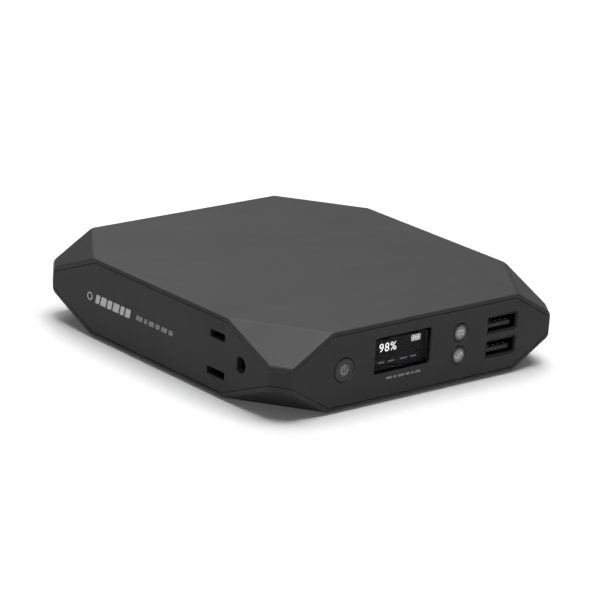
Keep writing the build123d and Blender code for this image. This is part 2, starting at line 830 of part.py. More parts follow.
# The strip that carries the control board's lines down to the main board.
header_pins = 8
header_pitch = 2.0
header_width = header_pins * header_pitch
header_size = 2.0
header_pin_size = (0.6, 2.8)
with BuildPart() as board_header:
    slab(
        (-header_width / 2, header_width / 2),
        (control_board_back, control_board_back + header_size),
        (board_top, board_top + header_size),
    )
    with BuildSketch(Plane.XZ.offset(-control_board_back)):
        with Locations((0, board_top + header_size + header_pin_size[1] / 2)):
            with GridLocations(header_pitch, 1, header_pins, 1):
                Rectangle(*header_pin_size)
    extrude(amount=-header_pin_size[0])
save(board_header.part, "board_header")

# The inverter's transformer: an E-shaped core closed round a wound bobbin.
transformer_place = (-12.0, -33.0, board_top + 8.2)
core_size = (22.0, 10.0, 16.0)
core_window = (16.0, 4.0)
core_window_height = 4.5  # from the core's middle to a window's middle
winding_size = (15.0, 17.0, 12.2)
winding_radius = 2.0
core_leg_hole = (10.4, 5.4)
with BuildPart() as transformer_core:
    with Locations(transformer_place):
        Box(*core_size)
        with Locations((0, 0, core_window_height), (0, 0, -core_window_height)):
            Box(core_window[0], core_size[1], core_window[1], mode=Mode.SUBTRACT)
save(transformer_core.part, "transformer_core")

with BuildPart() as transformer_winding:
    with Locations(transformer_place):
        Box(*winding_size)
        fillet(transformer_winding.edges().filter_by(Axis.X), winding_radius)
        Box(winding_size[0], *core_leg_hole, mode=Mode.SUBTRACT)
save(transformer_winding.part, "transformer_winding")

sink_plate_x = (12.5, 14.5)
sink_fin_end = 24.5
sink_y = (-45.0, -25.0)
sink_z = (board_top, board_top + 15.0)
fin_count = 6
fin_thickness = 1.2
fin_step = (sink_y[1] - sink_y[0] - fin_thickness) / (fin_count - 1)
with BuildPart() as heat_sink:
    slab(sink_plate_x, sink_y, sink_z)
    for fin in range(fin_count):
        fin_y = sink_y[0] + fin * fin_step
        slab((sink_plate_x[1], sink_fin_end), (fin_y, fin_y + fin_thickness), sink_z)
save(heat_sink.part, "heat_sink")

transistor_ys = (-40.5, -29.5)
transistor_half_width = 4.8
transistor_x = (8.1, sink_plate_x[0])
tab_x = (11.2, sink_plate_x[0])
transistor_leg_x = (9.4, 10.0)
transistor_leg_pitch = 2.5
transistor_leg_half_width = 0.4
transistor_low = board_top + 2.5
transistor_high = board_top + 11.5
tab_high = board_top + 14.5
with BuildPart() as power_transistors:
    for transistor_y in transistor_ys:
        transistor_span = (transistor_y - transistor_half_width, transistor_y + transistor_half_width)
        slab(transistor_x, transistor_span, (transistor_low, transistor_high))
        slab(tab_x, transistor_span, (transistor_high, tab_high))
        for leg_step in (-1, 0, 1):
            leg_y = transistor_y + leg_step * transistor_leg_pitch
            leg_span = (leg_y - transistor_leg_half_width, leg_y + transistor_leg_half_width)
            slab(transistor_leg_x, leg_span, (board_top, transistor_low))
save(power_transistors.part, "power_transistors")

capacitor_places = [(31.5, -39.5, board_top), (43.0, -39.5, board_top)]
capacitor_radius = 5.0
capacitor_height = 16.0
capacitor_edge_radius = 0.6
with BuildPart() as capacitors:
    with Locations(*capacitor_places):
        Cylinder(capacitor_radius, capacitor_height, align=upwards)
    fillet(capacitors.edges().group_by(Axis.Z)[-1], capacitor_edge_radius)
save(capacitors.part, "capacitors")

# The output choke: a ring core with one layer of turns.
choke_at = (37.0, -26.5)
choke_radii = (3.2, 5.8)
choke_height = 4.6
choke_wire_radius = 0.45
choke_turns = 12
choke_bend_radius = 0.6
choke_wire_gap = choke_wire_radius + 0.05
choke_z = board_top + choke_height / 2 + 2 * choke_wire_gap
with BuildPart() as choke_core:
    with Locations((*choke_at, choke_z)):
        Cylinder(choke_radii[1], choke_height)
        Cylinder(choke_radii[0], choke_height, mode=Mode.SUBTRACT)
save(choke_core.part, "choke_core")

turn_inner = choke_radii[0] - choke_wire_gap
turn_outer = choke_radii[1] + choke_wire_gap
turn_half_height = choke_height / 2 + choke_wire_gap
with BuildPart() as choke_turn:
    with BuildLine(Plane.XZ) as turn_route:
        FilletPolyline(
            (turn_inner, -turn_half_height),
            (turn_outer, -turn_half_height),
            (turn_outer, turn_half_height),
            (turn_inner, turn_half_height),
            radius=choke_bend_radius,
            close=True,
        )
    with BuildSketch(Plane(origin=turn_route.line @ 0, z_dir=turn_route.line % 0)):
        Circle(choke_wire_radius)
    sweep(path=turn_route.line)
with BuildPart() as choke_winding:
    with Locations((*choke_at, choke_z)):
        with PolarLocations(0, choke_turns):
            add(choke_turn.part)
save(choke_winding.part, "choke_winding")

inductor_places = [(x, -49.2, board_top) for x in (-21, -9, 3)]
inductor_width = 8.0
inductor_height = 4.2
inductor_corner = 1.2
with BuildPart() as power_inductors:
    with Locations(*inductor_places):
        Box(inductor_width, inductor_width, inductor_height, align=upwards)
    fillet(power_inductors.edges().filter_by(Axis.Z), inductor_corner)
save(power_inductors.part, "power_inductors")

# Each chip: the middle of its underside on the board, and its size.
charge_chip = ((14.5, -50.5), (7.0, 7.0, 0.9))
driver_chip = ((-25.0, -22.0), (6.0, 4.0, 1.5))
inverter_chip = ((47.0, -30.5), (6.0, 5.0, 1.5))
with BuildPart() as controller_chips:
    for chip_place, chip_size in (charge_chip, driver_chip, inverter_chip):
        with Locations((*chip_place, board_top)):
            Box(*chip_size, align=upwards)
save(controller_chips.part, "controller_chips")

# ---------------------------------------------------------------- battery

cell_xs = [(i - (cell_count - 1) / 2) * cell_pitch for i in range(cell_count)]
cell_rear_y = cell_front_y + cell_length
cell_mid_y = (cell_front_y + cell_rear_y) / 2
groove_from_end = 3.0  # the rolled groove below each cell's cap
groove_radius = 0.5

with BuildPart() as battery_cells:
    with BuildSketch(Plane.XY.offset(z_mid)):
        with Locations((cell_xs[0] + cell_radius / 2, cell_mid_y)):
            Rectangle(cell_radius, cell_length)
        with Locations((cell_xs[0] + cell_radius, cell_rear_y - groove_from_end)):
            Circle(groove_radius, mode=Mode.SUBTRACT)
    revolve(axis=Axis((cell_xs[0], 0, z_mid), (0, 1, 0)))
    one_cell = battery_cells.part
    for step in range(1, cell_count):
        with Locations((step * cell_pitch, 0, 0)):
            add(one_cell)
save(battery_cells.part, "battery_cells")

holder_x = (-58.0, 58.0)
holder_z = (inner_low, z_mid + 10.3)
holder_end = 2.0  # how far the holder stands past the cells' ends
holder_grip = 6.0  # how much of each cell it holds
holder_wall = 1.6
holder_gap = 0.3
terminal_opening_radius = 6.0
link_channel = (0.5, 8.0)  # depth and height of the channel that the links lie in
holder_limit = faceted_block(frame_wall + holder_gap, cover_wall)


def cell_holder(cell_end_y, outwards):
    """A moulded end plate that holds all the cells, open at each terminal."""
    end_y = cell_end_y + outwards * holder_end
    inner_y = cell_end_y - outwards * holder_grip
    wall_y = end_y - outwards * holder_wall
    channel_y = wall_y - outwards * link_channel[0]
    channel_z = (z_mid - link_channel[1] / 2, z_mid + link_channel[1] / 2)
    with BuildPart() as holder:
        slab(holder_x, sorted((end_y, inner_y)), holder_z)
        add(holder_limit, mode=Mode.INTERSECT)
        with BuildSketch(Plane.XZ.offset(-wall_y)):
            with Locations(*[(x, z_mid) for x in cell_xs]):
                Circle(cell_radius + part_gap)
        extrude(amount=wall_y - inner_y, mode=Mode.SUBTRACT)
        with BuildSketch(Plane.XZ.offset(-end_y)):
            with Locations(*[(x, z_mid) for x in cell_xs]):
                Circle(terminal_opening_radius)
        extrude(amount=end_y - wall_y, mode=Mode.SUBTRACT)
        slab(holder_x, sorted((wall_y, channel_y)), channel_z, Mode.SUBTRACT)
    return holder.part


save(cell_holder(cell_front_y, -1), "cell_holder_front")
save(cell_holder(cell_rear_y, 1), "cell_holder_rear")

# Each link joins a pair of cells, at both ends.
link_thickness = 0.2
link_z = (z_mid - 3.5, z_mid + 3.5)
link_overlap = 5.0  # past the middle of each cell
with BuildPart() as cell_links:
    for left_x, right_x in zip(cell_xs[::2], cell_xs[1::2]):
        pair_x = (left_x - link_overlap, right_x + link_overlap)
        slab(pair_x, (cell_front_y - link_thickness, cell_front_y), link_z)
        slab(pair_x, (cell_rear_y, cell_rear_y + link_thickness), link_z)
save(cell_links.part, "cell_links")

protection_x = (-26.0, 26.0)
protection_z = (z_mid - 6.0, z_mid + 9.0)
protection_back_y = cell_front_y - holder_end
protection_front_y = protection_back_y - 1.2
with BuildPart() as protection_board:
    slab(protection_x, (protection_front_y, protection_back_y), protection_z)
save(protection_board.part, "protection_board")

connector_x = (1.0, 7.4)
connector_y = (-26.0, -21.0)
connector_top = z_mid - 2.7
with BuildPart() as battery_connector:
    slab(connector_x, connector_y, (board_top, connector_top))
save(battery_connector.part, "battery_connector")

battery_lead_xs = (2.7, 5.7)
battery_lead_z = z_mid + 4.0
connector_mid_y = sum(connector_y) / 2
battery_lead_parts = [
    lead(
        [
            (lead_x, protection_front_y, battery_lead_z),
            (lead_x, connector_mid_y, battery_lead_z),
            (lead_x, connector_mid_y, connector_top),
        ],
        (0, -1, 0),
    )
    for lead_x in battery_lead_xs
]
with BuildPart() as battery_leads:
    for lead_part in battery_lead_parts:
        add(lead_part)
save(battery_leads.part, "battery_leads")
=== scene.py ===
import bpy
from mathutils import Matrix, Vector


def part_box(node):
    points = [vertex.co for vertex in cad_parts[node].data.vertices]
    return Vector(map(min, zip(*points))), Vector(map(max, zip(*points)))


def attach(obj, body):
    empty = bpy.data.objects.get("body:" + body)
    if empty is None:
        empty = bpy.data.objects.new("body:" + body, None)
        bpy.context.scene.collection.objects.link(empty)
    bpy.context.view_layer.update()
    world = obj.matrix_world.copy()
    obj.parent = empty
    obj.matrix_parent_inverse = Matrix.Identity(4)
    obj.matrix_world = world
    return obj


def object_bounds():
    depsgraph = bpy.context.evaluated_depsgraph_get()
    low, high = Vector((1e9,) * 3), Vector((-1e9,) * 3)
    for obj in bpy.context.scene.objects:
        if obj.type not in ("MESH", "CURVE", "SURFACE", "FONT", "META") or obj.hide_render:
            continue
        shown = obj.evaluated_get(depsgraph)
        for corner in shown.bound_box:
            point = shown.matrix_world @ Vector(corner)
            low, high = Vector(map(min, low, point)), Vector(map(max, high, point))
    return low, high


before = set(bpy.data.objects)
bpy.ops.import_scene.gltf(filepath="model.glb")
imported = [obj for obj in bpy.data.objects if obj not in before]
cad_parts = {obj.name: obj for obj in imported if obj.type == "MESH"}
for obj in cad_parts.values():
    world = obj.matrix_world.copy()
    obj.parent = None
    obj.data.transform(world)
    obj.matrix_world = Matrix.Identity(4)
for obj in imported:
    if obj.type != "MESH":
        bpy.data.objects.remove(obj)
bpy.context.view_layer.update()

import math

import bmesh
import bpy
from mathutils import Matrix, Quaternion, Vector

mm = 0.001
bpy.ops.object.select_all(action="DESELECT")

# ------------------------------------------------------------------ camera
# A long lens from the corner between the outlet side and the control side, a little above
# the top cover, and tipped slightly so that the case leans to the right.
view_azimuth = math.radians(-41.4)
view_elevation = math.radians(18.2)
view_roll = math.radians(3.9)
view_distance = 1.151
sensor_width = 36
lens_length = 205
case_low, case_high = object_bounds()
case_middle = (case_low + case_high) / 2
towards_camera = Vector((
    math.sin(view_azimuth) * math.cos(view_elevation),
    -math.cos(view_azimuth) * math.cos(view_elevation),
    math.sin(view_elevation),
))
bpy.ops.object.camera_add(location=case_middle + towards_camera * view_distance)
camera = bpy.context.object
camera.name = "studio_camera"
camera.rotation_mode = "QUATERNION"
aimed = (-towards_camera).to_track_quat("-Z", "Y")
camera.rotation_quaternion = aimed @ Quaternion((0, 0, 1), view_roll)
camera.data.sensor_width = sensor_width
camera.data.lens = lens_length
bpy.context.scene.camera = camera

# ------------------------------------------------------------------ case mouldings
# The two covers and the frame between them are moulded in glass-filled nylon with a soft-touch
# coat, spark-eroded to a fine matt grain. Handling polishes the coat along the edges and leaves
# faint smears on the flats. Five screws from below clamp all three together.


def new_finish(name):
    """A material with its nodes, links and shader, ready to be worked on."""
    material = bpy.data.materials.new(name)
    material.use_nodes = True
    nodes, links = material.node_tree.nodes, material.node_tree.links
    return material, nodes, links, nodes["Principled BSDF"]


def placed(nodes, links, centre=(0, 0, 0), scale=(1, 1, 1)):
    """Object coordinates moved so that centre is the pattern's origin, then stretched."""
    place = nodes.new("ShaderNodeTexCoord")
    mapping = nodes.new("ShaderNodeMapping")
    mapping.inputs["Location"].default_value = [-c * s for c, s in zip(centre, scale)]
    mapping.inputs["Scale"].default_value = scale
    links.new(place.outputs["Object"], mapping.inputs["Vector"])
    return mapping.outputs["Vector"]


def clouds(nodes, links, vector, scale, detail=3.0, rough=0.55):
    """Soft noise at a scale per metre."""
    noise = nodes.new("ShaderNodeTexNoise")
    noise.inputs["Scale"].default_value = scale
    noise.inputs["Detail"].default_value = detail
    noise.inputs["Roughness"].default_value = rough
    links.new(vector, noise.inputs["Vector"])
    return noise.outputs["Fac"]


def spread(nodes, links, value, low, high, from_low=0.3, from_high=0.7):
    """A pattern's values brought to between low and high."""
    ranged = nodes.new("ShaderNodeMapRange")
    ranged.inputs["From Min"].default_value = from_low
    ranged.inputs["From Max"].default_value = from_high
    ranged.inputs["To Min"].default_value = low
    ranged.inputs["To Max"].default_value = high
    links.new(value, ranged.inputs["Value"])
    return ranged.outputs["Result"]


def blend(nodes, links, share, first, second):
    """One colour turning into another as share goes from 0 to 1."""
    mix = nodes.new("ShaderNodeMix")
    mix.data_type = "RGBA"
    for socket, colour in ((mix.inputs[6], first), (mix.inputs[7], second)):
        if isinstance(colour, bpy.types.NodeSocket):
            links.new(colour, socket)
        else:
            socket.default_value = (*colour, 1)
    links.new(share, mix.inputs[0])
    return mix.outputs[2]


def add_relief(nodes, links, shader, height, depth, strength, under=None):
    """Bump of a real depth in metres, laid over another bump if one is given."""
    bump = nodes.new("ShaderNodeBump")
    bump.inputs["Distance"].default_value = depth
    bump.inputs["Strength"].default_value = strength
    links.new(height, bump.inputs["Height"])
    if under:
        links.new(under, bump.inputs["Normal"])
    links.new(bump.outputs["Normal"], shader.inputs["Normal"])
    return bump.outputs["Normal"]


def edge_share(nodes, links, radius, reach):
    """0 on the flats, rising to 1 along an edge, where handling rubs it."""
    soft = nodes.new("ShaderNodeBevel")
    soft.samples = 4
    soft.inputs["Radius"].default_value = radius
    geometry = nodes.new("ShaderNodeNewGeometry")
    facing = nodes.new("ShaderNodeVectorMath")
    facing.operation = "DOT_PRODUCT"
    links.new(soft.outputs["Normal"], facing.inputs[0])
    links.new(geometry.outputs["Normal"], facing.inputs[1])
    return spread(nodes, links, facing.outputs["Value"], 1, 0, 1 - reach, 1)


def paint(links, shader, colour, gloss):
    """Wires a colour and a roughness into a shader."""
    links.new(colour, shader.inputs["Base Color"])
    links.new(gloss, shader.inputs["Roughness"])


def dress(material, *names):
    """Puts a material on CAD nodes."""
    for name in names:
        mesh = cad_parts[name].data
        mesh.materials.clear()
        mesh.materials.append(material)


def soft_touch_plastic():
    """The coat, slightly cloudy, rubbed paler along the edges and smeared on the flats."""
    coat = (0.0185, 0.0185, 0.0195)
    faded = (0.0205, 0.0205, 0.0215)
    rubbed = (0.038, 0.038, 0.039)
    material, nodes, links, shader = new_finish("soft_touch_plastic")
    where = placed(nodes, links)
    cloudy = spread(nodes, links, clouds(nodes, links, where, scale=38, detail=4), 0, 1)
    coat_tone = blend(nodes, links, cloudy, coat, faded)
    edge = edge_share(nodes, links, radius=0.9 * mm, reach=0.16)
    patchy = spread(nodes, links, clouds(nodes, links, where, scale=240, detail=3), 0.25, 1)
    wear = nodes.new("ShaderNodeMath")
    wear.operation = "MULTIPLY"
    links.new(edge, wear.inputs[0])
    links.new(patchy, wear.inputs[1])
    smears = placed(nodes, links, scale=(1, 2.6, 1.4))
    smeared = clouds(nodes, links, smears, scale=21, detail=5, rough=0.62)
    colour = blend(nodes, links, wear.outputs[0], coat_tone, rubbed)
    paint(links, shader, colour, spread(nodes, links, smeared, 0.5, 0.58))
    grain = clouds(nodes, links, where, scale=3600, detail=2, rough=0.5)
    fine = add_relief(nodes, links, shader, grain, depth=0.03 * mm, strength=0.35)
    ripple = clouds(nodes, links, where, scale=160, detail=2)
    add_relief(nodes, links, shader, ripple, depth=0.02 * mm, strength=0.25, under=fine)
    shader.inputs["Specular IOR Level"].default_value = 0.24
    return material


dress(soft_touch_plastic(), "top_cover", "bottom_cover", "side_frame")

# ------------------------------------------------------------------ feet
# Four die-cut pads of dense black rubber, pressed into shallow pockets under the bottom cover.
# Dust settles in the rubber's open skin and turns it slightly grey.


def foot_rubber():
    """Matt rubber, greyer and duller where dust lies."""
    clean, dusty = (0.012, 0.012, 0.012), (0.05, 0.048, 0.045)
    material, nodes, links, shader = new_finish("foot_rubber")
    where = placed(nodes, links)
    patches = clouds(nodes, links, where, scale=420, detail=5, rough=0.65)
    dust = spread(nodes, links, patches, 0, 1, 0.45, 0.75)
    colour = blend(nodes, links, dust, clean, dusty)
    paint(links, shader, colour, spread(nodes, links, dust, 0.72, 0.95, 0, 1))
    skin = clouds(nodes, links, where, scale=2600, detail=3)
    add_relief(nodes, links, shader, skin, depth=0.05 * mm, strength=0.6)
    shader.inputs["Specular IOR Level"].default_value = 0.3
    return material


foot_nodes = [f"foot_{end}_{side}" for end in ("front", "rear") for side in ("left", "right")]
dress(foot_rubber(), *foot_nodes)

# ------------------------------------------------------------------ screws
# Thread-forming steel screws with a cross recess, in black oxide. The oxide is thin, so the
# driver has worn it back to grey in places.


def black_oxide():
    """Oxide with small worn spots, which are paler and smoother."""
    oxide, steel = (0.03, 0.031, 0.034), (0.24, 0.24, 0.25)
    material, nodes, links, shader = new_finish("black_oxide_steel")
    where = placed(nodes, links)
    spots = clouds(nodes, links, where, scale=1500, detail=4, rough=0.7)
    worn = spread(nodes, links, spots, 0, 1, 0.52, 0.78)
    colour = blend(nodes, links, worn, oxide, steel)
    paint(links, shader, colour, spread(nodes, links, worn, 0.42, 0.28, 0, 1))
    grain = clouds(nodes, links, where, scale=5200, detail=2)
    add_relief(nodes, links, shader, grain, depth=0.01 * mm, strength=0.4)
    shader.inputs["Metallic"].default_value = 1
    return material


dress(black_oxide(), "case_screws", "board_screws")

# ------------------------------------------------------------------ keys
# Three round caps in hard satin plastic, darker than the case, each with a milky disc let in
# flush at its middle that an LED lights from behind. The power key's disc is smoked.


def key_plastic():
    """Satin plastic, polished paler along the cap's rim."""
    satin, polished = (0.008, 0.008, 0.0085), (0.04, 0.04, 0.041)
    material, nodes, links, shader = new_finish("satin_key_plastic")
    where = placed(nodes, links)
    edge = edge_share(nodes, links, radius=0.35 * mm, reach=0.2)
    touched = clouds(nodes, links, where, scale=700, detail=4)
    colour = blend(nodes, links, edge, satin, polished)
    paint(links, shader, colour, spread(nodes, links, touched, 0.3, 0.42))
    grain = clouds(nodes, links, where, scale=5200, detail=2)
    add_relief(nodes, links, shader, grain, depth=0.012 * mm, strength=0.3)
    shader.inputs["Specular IOR Level"].default_value = 0.4
    return material


def milky_disc(name, key, painted_led_glow, rim):
    """Diffusing plastic with the glow of the LED behind it painted into its colour: lighter at its
    middle than at its rim.
    """
    lit_radius, rim_radius = 0.6 * mm, 2.3 * mm
    low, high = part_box(f"{key}_button_lens")
    centre = (Vector(low) + Vector(high)) / 2
    material, nodes, links, shader = new_finish(name)
    from_middle = nodes.new("ShaderNodeVectorMath")
    from_middle.operation = "LENGTH"
    links.new(placed(nodes, links, centre, (1, 0, 1)), from_middle.inputs[0])
    # painted glow of the LED behind the disc: lightest at the middle, fading out towards the rim
    glow_falloff = spread(nodes, links, from_middle.outputs["Value"], 0, 1, lit_radius, rim_radius)
    where = placed(nodes, links)
    touched = clouds(nodes, links, where, scale=900, detail=3)
    colour = blend(nodes, links, glow_falloff, painted_led_glow, rim)
    paint(links, shader, colour, spread(nodes, links, touched, 0.3, 0.42))
    grain = clouds(nodes, links, where, scale=4200, detail=2)
    add_relief(nodes, links, shader, grain, depth=0.008 * mm, strength=0.25)
    shader.inputs["Subsurface Weight"].default_value = 0.3
    shader.inputs["Subsurface Radius"].default_value = (0.5 * mm, 0.5 * mm, 0.5 * mm)
    shader.inputs["Subsurface Scale"].default_value = 1
    return material


dress(key_plastic(), "power_button", "usb_button", "output_button")
# The discs' paler middles are painted glow from the LEDs behind them.
smoked_painted_glow, smoked_rim = (0.075, 0.076, 0.08), (0.03, 0.03, 0.032)
dress(milky_disc("smoked_disc", "power", smoked_painted_glow, smoked_rim), "power_button_lens")
milky_painted_glow, milky_rim = (0.27, 0.27, 0.275), (0.16, 0.16, 0.165)
for key in ("usb", "output"):
    dress(milky_disc(f"{key}_milky_disc", key, milky_painted_glow, milky_rim), f"{key}_button_lens")

# ------------------------------------------------------------------ icons on the keys
# Pad-printed in pale ink on each disc: a broken ring with a bar for power, a long dash over
# three short ones for direct current, and a wave for the mains outlet.
ink_height = 0.02 * mm
stroke = 0.42 * mm
icon_corner = 0.18 * mm
front = 1  # prints on the control side are thin along Y


def pale_ink(name, colour):
    """Ink that lies a little thinner, and so darker, in places."""
    material, nodes, links, shader = new_finish(name)
    where = placed(nodes, links)
    lay = clouds(nodes, links, where, scale=2200, detail=4, rough=0.6)
    thin = spread(nodes, links, lay, 0, 1, 0.35, 0.62)
    tone = blend(nodes, links, thin, [c * 0.72 for c in colour], colour)
    paint(links, shader, tone, spread(nodes, links, thin, 0.6, 0.45, 0, 1))
    grain = clouds(nodes, links, where, scale=5200, detail=2)
    add_relief(nodes, links, shader, grain, depth=0.006 * mm, strength=0.3)
    return material


def in_edit_mode(kind):
    """Opens the active piece for editing with nothing selected, and returns its mesh."""
    bpy.ops.object.mode_set(mode="EDIT")
    bpy.ops.mesh.select_mode(type=kind)
    bpy.ops.mesh.select_all(action="DESELECT")
    return bmesh.from_edit_mesh(bpy.context.object.data)


def finish_edit():
    """Closes the active piece, with its faces outwards and its place in its mesh."""
    bpy.ops.mesh.select_all(action="SELECT")
    bpy.ops.mesh.normals_make_consistent(inside=False)
    bpy.ops.object.mode_set(mode="OBJECT")
    bpy.ops.object.transform_apply(location=True, rotation=True, scale=True)
    return bpy.context.object


def ink_bar(centre, size, corner, across, slant=0):
    """A printed bar with round corners. across is the axis that it is thin along."""
    bpy.ops.object.select_all(action="DESELECT")
    bpy.ops.mesh.primitive_cube_add(size=1, location=centre, scale=size)
    bpy.ops.object.transform_apply(location=False, rotation=False, scale=True)
    mesh = in_edit_mode("EDGE")
    for edge in mesh.edges:
        run = edge.verts[1].co - edge.verts[0].co
        edge.select_set(abs(run[across]) > 0.9 * run.length)
    bpy.ops.mesh.bevel(offset=corner, segments=5, affect="EDGES")
    if slant:
        mesh = bmesh.from_edit_mesh(bpy.context.object.data)
        for point in mesh.verts:
            point.co[1 - across] += slant * point.co.z
        bmesh.update_edit_mesh(bpy.context.object.data)
    return finish_edit()


def ink_arc(centre, radius, start, turn, across):
    """A printed arc, swept about its centre, with its angles in degrees. across is as for a bar."""
    bpy.ops.object.select_all(action="DESELECT")
    axis = Vector([float(i == across) for i in range(3)])
    reach = Vector([float(i == 1 - across) for i in range(3)])
    arm = Matrix.Rotation(math.radians(start), 3, axis) @ (reach * radius)
    outwards = arm.normalized()
    bpy.ops.mesh.primitive_plane_add(size=1, location=centre + arm)
    bpy.ops.object.transform_apply(location=True, rotation=False, scale=False)
    mesh = in_edit_mode("VERT")
    for point in mesh.verts:
        corner = point.co - centre - arm
        point.co = centre + arm + outwards * corner.x * stroke + axis * corner.y * ink_height
    bmesh.update_edit_mesh(bpy.context.object.data)
    bpy.ops.mesh.select_all(action="SELECT")
    bpy.ops.mesh.spin(steps=32, angle=math.radians(turn), center=centre, axis=axis)
    return finish_edit()


def joined(name, parts, material, body):
    """Several prints made one piece, which rides on a body."""
    bpy.ops.object.select_all(action="DESELECT")
    for part in parts:
        part.select_set(True)
    bpy.context.view_layer.objects.active = parts[0]
    if len(parts) > 1:
        bpy.ops.object.join()
    piece = bpy.context.view_layer.objects.active
    piece.name = name
    piece.data.materials.clear()
    piece.data.materials.append(material)
    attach(piece, body)


def on_disc(key, x=0, height=0):
    """A place for a print on a key's disc, in mm from the disc's middle."""
    low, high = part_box(f"{key}_button_lens")
    middle = Vector(((low[0] + high[0]) / 2, low[1] - ink_height / 2, (low[2] + high[2]) / 2))
    return middle + Vector((x * mm, 0, height * mm))


power_bar_size = (stroke, ink_height, 1.5 * mm)
power_marks = [
    ink_arc(on_disc("power"), 1.35 * mm, start=-60, turn=300, across=front),
    ink_bar(on_disc("power", height=1.15), power_bar_size, icon_corner, front),
]
dim_ink = pale_ink("dim_ink", (0.24, 0.24, 0.25))
joined("power_icon", power_marks, dim_ink, "power_button_body")

bright_ink = pale_ink("bright_ink", (0.62, 0.62, 0.63))
dash_level, dash_step = 0.55, 1.1
long_dash_size = (3.0 * mm, ink_height, stroke)
short_dash_size = (0.75 * mm, ink_height, stroke)
direct_marks = [ink_bar(on_disc("usb", height=dash_level), long_dash_size, icon_corner, front)]
for step in (-1, 0, 1):
    dash_at = on_disc("usb", step * dash_step, -dash_level)
    direct_marks.append(ink_bar(dash_at, short_dash_size, icon_corner, front))
joined("usb_icon", direct_marks, bright_ink, "usb_button_body")

wave_radius = 0.75
wave_marks = []
for side in (-1, 1):
    half_at = on_disc("output", side * wave_radius)
    wave_marks.append(ink_arc(half_at, wave_radius * mm, 180, turn=-side * 180, across=front))
joined("output_icon", wave_marks, bright_ink, "output_button_body")

# ------------------------------------------------------------------ marks printed on the frame
# Screen-printed on the finished frame in pale ink: one line of short plain bars under the
# display, and along the outlet side a ring, a run of bold slanted bars and a run of thin ones.
frame_low, frame_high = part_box("side_frame")
mid_height = (frame_low[2] + frame_high[2]) / 2
outlet_side = 0  # prints on the outlet side are thin along X
side_slant = -0.22


def on_control_side(x, height):
    """A place for a print on the control side, in mm from the middle of the frame."""
    return Vector((x * mm, frame_low[1] - ink_height / 2, mid_height + height * mm))


def on_outlet_side(y):
    """A place for a print at mid height on the outlet side, in mm from the middle."""
    return Vector((frame_low[0] - ink_height / 2, y * mm, mid_height))


def side_bars(start, lengths, gap, tall, corner):
    """A run of slanted bars along the outlet side, all in mm."""
    bars = []
    for length in lengths:
        bar_size = (ink_height, length * mm, tall * mm)
        bar_at = on_outlet_side(start - length / 2)
        bars.append(ink_bar(bar_at, bar_size, corner * mm, outlet_side, side_slant))
        start -= length + gap
    return bars


caption_x, caption_level, caption_gap = -16.3, -6.0, 0.55
caption_marks = []
for length in (2.6, 1.3, 2.9, 1.8, 1.2, 2.3):
    bar_at = on_control_side(caption_x + length / 2, caption_level)
    bar_size = (length * mm, ink_height, 0.85 * mm)
    caption_marks.append(ink_bar(bar_at, bar_size, 0.2 * mm, front))
    caption_x += length + caption_gap
grey_ink = pale_ink("grey_ink", (0.19, 0.19, 0.195))
joined("caption_bars", caption_marks, grey_ink, "case")

ring = ink_arc(on_outlet_side(36.4), 1.2 * mm, start=0, turn=360, across=outlet_side)
bold_lengths = (2.0, 2.9, 2.3, 3.2, 2.0, 2.6)
bold_marks = [ring, *side_bars(33.0, bold_lengths, gap=0.75, tall=3.1, corner=0.35)]
white_ink = pale_ink("white_ink", (0.56, 0.56, 0.57))
joined("side_mark_bold", bold_marks, white_ink, "case")

thin_lengths = (3.4, 1.6, 2.7, 2.1, 3.0, 2.2)
thin_marks = side_bars(11.0, thin_lengths, gap=0.9, tall=1.7, corner=0.3)
light_grey_ink = pale_ink("light_grey_ink", (0.22, 0.22, 0.225))
joined("side_mark_thin", thin_marks, light_grey_ink, "case")

# ------------------------------------------------------------------ display
# A small self-lit panel behind a smoked acrylic window, which is coated against glare and bonded
# into the frame's rebate. A black steel bracket holds the panel off the control board, and an
# amber film ribbon joins the two.


def smoked_acrylic():
    """Clear smoked plastic with faint finger smears. Its low index stands for the coating."""
    material, nodes, links, shader = new_finish("smoked_acrylic")
    smear = clouds(nodes, links, placed(nodes, links), scale=130, detail=4, rough=0.6)
    tint = blend(nodes, links, smear, (0.5, 0.5, 0.51), (0.56, 0.56, 0.57))
    paint(links, shader, tint, spread(nodes, links, smear, 0.03, 0.09))
    shader.inputs["Transmission Weight"].default_value = 1
    shader.inputs["IOR"].default_value = 1.1
    return material


def moulded(name, tone, aged, rough, grain=4200, depth=0.012 * mm):
    """An opaque plastic or lacquer: its fresh and its aged tone, its gloss and its grain."""
    material, nodes, links, shader = new_finish(name)
    where = placed(nodes, links)
    patches = clouds(nodes, links, where, scale=260, detail=4)
    ageing = spread(nodes, links, patches, 0, 1, 0.4, 0.7)
    gloss = clouds(nodes, links, where, scale=900, detail=3)
    colour = blend(nodes, links, ageing, tone, aged)
    paint(links, shader, colour, spread(nodes, links, gloss, rough - 0.05, rough + 0.07))
    skin = clouds(nodes, links, where, scale=grain, detail=2)
    add_relief(nodes, links, shader, skin, depth, strength=0.35)
    shader.inputs["Specular IOR Level"].default_value = 0.4
    return material


def drawn_metal(name, clean, tarnished, rough, drawn=(1, 1, 1)):
    """A metal: its clean and tarnished tones, its gloss, and how it was rolled or drawn."""
    material, nodes, links, shader = new_finish(name)
    patches = clouds(nodes, links, placed(nodes, links), scale=520, detail=4, rough=0.62)
    tarnish = spread(nodes, links, patches, 0, 1, 0.42, 0.72)
    lines = clouds(nodes, links, placed(nodes, links, scale=drawn), scale=1400, detail=3)
    colour = blend(nodes, links, tarnish, clean, tarnished)
    paint(links, shader, colour, spread(nodes, links, lines, rough - 0.06, rough + 0.08))
    add_relief(nodes, links, shader, lines, depth=0.008 * mm, strength=0.35)
    shader.inputs["Metallic"].default_value = 1
    return material


